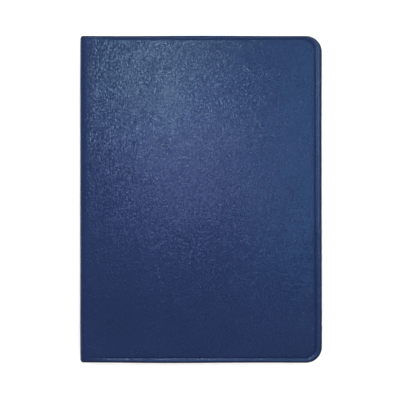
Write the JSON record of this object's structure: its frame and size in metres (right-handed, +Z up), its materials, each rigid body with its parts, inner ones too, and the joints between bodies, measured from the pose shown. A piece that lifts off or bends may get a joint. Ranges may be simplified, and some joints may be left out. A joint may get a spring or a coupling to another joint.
{
  "type": "pilot logbook",
  "caption": "Closed pilot flight logbook: section-sewn ruled leaves in a limp navy leather case with rounded fore-edge corners; both covers hinge at the spine.",
  "frame": {"origin": "middle of the back cover's outer face, on which the closed book lies", "axes": "+X from the spine to the fore-edge, +Y from the tail to the head, +Z up out of the front cover"},
  "size_m": [0.16, 0.216, 0.0155],
  "materials": {
    "cover_leather": "satin, fine pebbled grain",
    "cover_board": "matt",
    "infill_card": "matt",
    "endpaper": "matt",
    "page_paper": "matt, ruled",
    "lining_paper": "matt",
    "mull_cloth": "open weave",
    "band_silk": "striped cord",
    "thread": "waxed thread"
  },
  "bodies": {
    "back_cover": {"back_cover_leather": "cover_leather", "back_cover_board": "cover_board", "back_cover_infill": "infill_card", "back_pastedown": "endpaper"},
    "spine": {"spine_leather": "cover_leather", "spine_inlay": "cover_board", "spine_lining": "lining_paper", "spine_mull": "mull_cloth", "head_band": "band_silk", "tail_band": "band_silk", "sewing_thread": "thread"},
    "front_cover": {"front_cover_leather": "cover_leather", "front_cover_board": "cover_board", "front_cover_infill": "infill_card", "front_pastedown": "endpaper"},
    "front_flyleaf": {"front_flyleaf": "endpaper"},
    "back_flyleaf": {"back_flyleaf": "endpaper"},
    "section_01": {"section_01": "page_paper"},
    "section_02": {"section_02": "page_paper"},
    "section_03": {"section_03": "page_paper"},
    "section_04": {"section_04": "page_paper"},
    "section_05": {"section_05": "page_paper"},
    "section_06": {"section_06": "page_paper"},
    "section_07": {"section_07": "page_paper"},
    "section_08": {"section_08": "page_paper"},
    "section_09": {"section_09": "page_paper"},
    "section_10": {"section_10": "page_paper"},
    "section_11": {"section_11": "page_paper"},
    "section_12": {"section_12": "page_paper"}
  },
  "joints": [
    {"name": "back_cover_hinge", "type": "hinge", "parent": "back_cover", "child": "spine", "pos_m": [-0.08, 0, 0.0006], "axis": [0, -1, 0], "range_deg": [0, 90]},
    {"name": "front_cover_hinge", "type": "hinge", "parent": "spine", "child": "front_cover", "pos_m": [-0.08, 0, 0.0149], "axis": [0, -1, 0], "range_deg": [0, 90]},
    {"name": "front_flyleaf_fold", "type": "hinge", "parent": "spine", "child": "front_flyleaf", "pos_m": [-0.0774, 0, 0.01328], "axis": [0, -1, 0], "range_deg": [0, 87.6]},
    {"name": "section_01_fold", "type": "hinge", "parent": "spine", "child": "section_01", "pos_m": [-0.0774, 0, 0.0127], "axis": [0, -1, 0], "range_deg": [0, 83.1]},
    {"name": "section_02_fold", "type": "hinge", "parent": "spine", "child": "section_02", "pos_m": [-0.0774, 0, 0.0118], "axis": [0, -1, 0], "range_deg": [0, 80.4]},
    {"name": "section_03_fold", "type": "hinge", "parent": "spine", "child": "section_03", "pos_m": [-0.0774, 0, 0.0109], "axis": [0, -1, 0], "range_deg": [0, 77.7]},
    {"name": "section_04_fold", "type": "hinge", "parent": "spine", "child": "section_04", "pos_m": [-0.0774, 0, 0.01], "axis": [0, -1, 0], "range_deg": [0, 75]},
    {"name": "section_05_fold", "type": "hinge", "parent": "spine", "child": "section_05", "pos_m": [-0.0774, 0, 0.0091], "axis": [0, -1, 0], "range_deg": [0, 72.3]},
    {"name": "section_06_fold", "type": "hinge", "parent": "spine", "child": "section_06", "pos_m": [-0.0774, 0, 0.0082], "axis": [0, -1, 0], "range_deg": [0, 69.6]},
    {"name": "section_07_fold", "type": "hinge", "parent": "spine", "child": "section_07", "pos_m": [-0.0774, 0, 0.0073], "axis": [0, -1, 0], "range_deg": [-69.6, 0]},
    {"name": "section_08_fold", "type": "hinge", "parent": "spine", "child": "section_08", "pos_m": [-0.0774, 0, 0.0064], "axis": [0, -1, 0], "range_deg": [-72.3, 0]},
    {"name": "section_09_fold", "type": "hinge", "parent": "spine", "child": "section_09", "pos_m": [-0.0774, 0, 0.0055], "axis": [0, -1, 0], "range_deg": [-75, 0]},
    {"name": "section_10_fold", "type": "hinge", "parent": "spine", "child": "section_10", "pos_m": [-0.0774, 0, 0.0046], "axis": [0, -1, 0], "range_deg": [-77.7, 0]},
    {"name": "section_11_fold", "type": "hinge", "parent": "spine", "child": "section_11", "pos_m": [-0.0774, 0, 0.0037], "axis": [0, -1, 0], "range_deg": [-80.4, 0]},
    {"name": "section_12_fold", "type": "hinge", "parent": "spine", "child": "section_12", "pos_m": [-0.0774, 0, 0.0028], "axis": [0, -1, 0], "range_deg": [-83.1, 0]},
    {"name": "back_flyleaf_fold", "type": "hinge", "parent": "spine", "child": "back_flyleaf", "pos_m": [-0.0774, 0, 0.00222], "axis": [0, -1, 0], "range_deg": [-87.6, 0]}
  ],
  "couplings": [
    {"joint": "front_flyleaf_fold", "follows": "front_cover_hinge", "ratio": 0.96667},
    {"joint": "section_01_fold", "follows": "front_cover_hinge", "ratio": 0.91667},
    {"joint": "section_02_fold", "follows": "front_cover_hinge", "ratio": 0.88667},
    {"joint": "section_03_fold", "follows": "front_cover_hinge", "ratio": 0.85667},
    {"joint": "section_04_fold", "follows": "front_cover_hinge", "ratio": 0.82667},
    {"joint": "section_05_fold", "follows": "front_cover_hinge", "ratio": 0.79667},
    {"joint": "section_06_fold", "follows": "front_cover_hinge", "ratio": 0.76667},
    {"joint": "section_07_fold", "follows": "back_cover_hinge", "ratio": -0.76667},
    {"joint": "section_08_fold", "follows": "back_cover_hinge", "ratio": -0.79667},
    {"joint": "section_09_fold", "follows": "back_cover_hinge", "ratio": -0.82667},
    {"joint": "section_10_fold", "follows": "back_cover_hinge", "ratio": -0.85667},
    {"joint": "section_11_fold", "follows": "back_cover_hinge", "ratio": -0.88667},
    {"joint": "section_12_fold", "follows": "back_cover_hinge", "ratio": -0.91667},
    {"joint": "back_flyleaf_fold", "follows": "back_cover_hinge", "ratio": -0.96667}
  ]
}
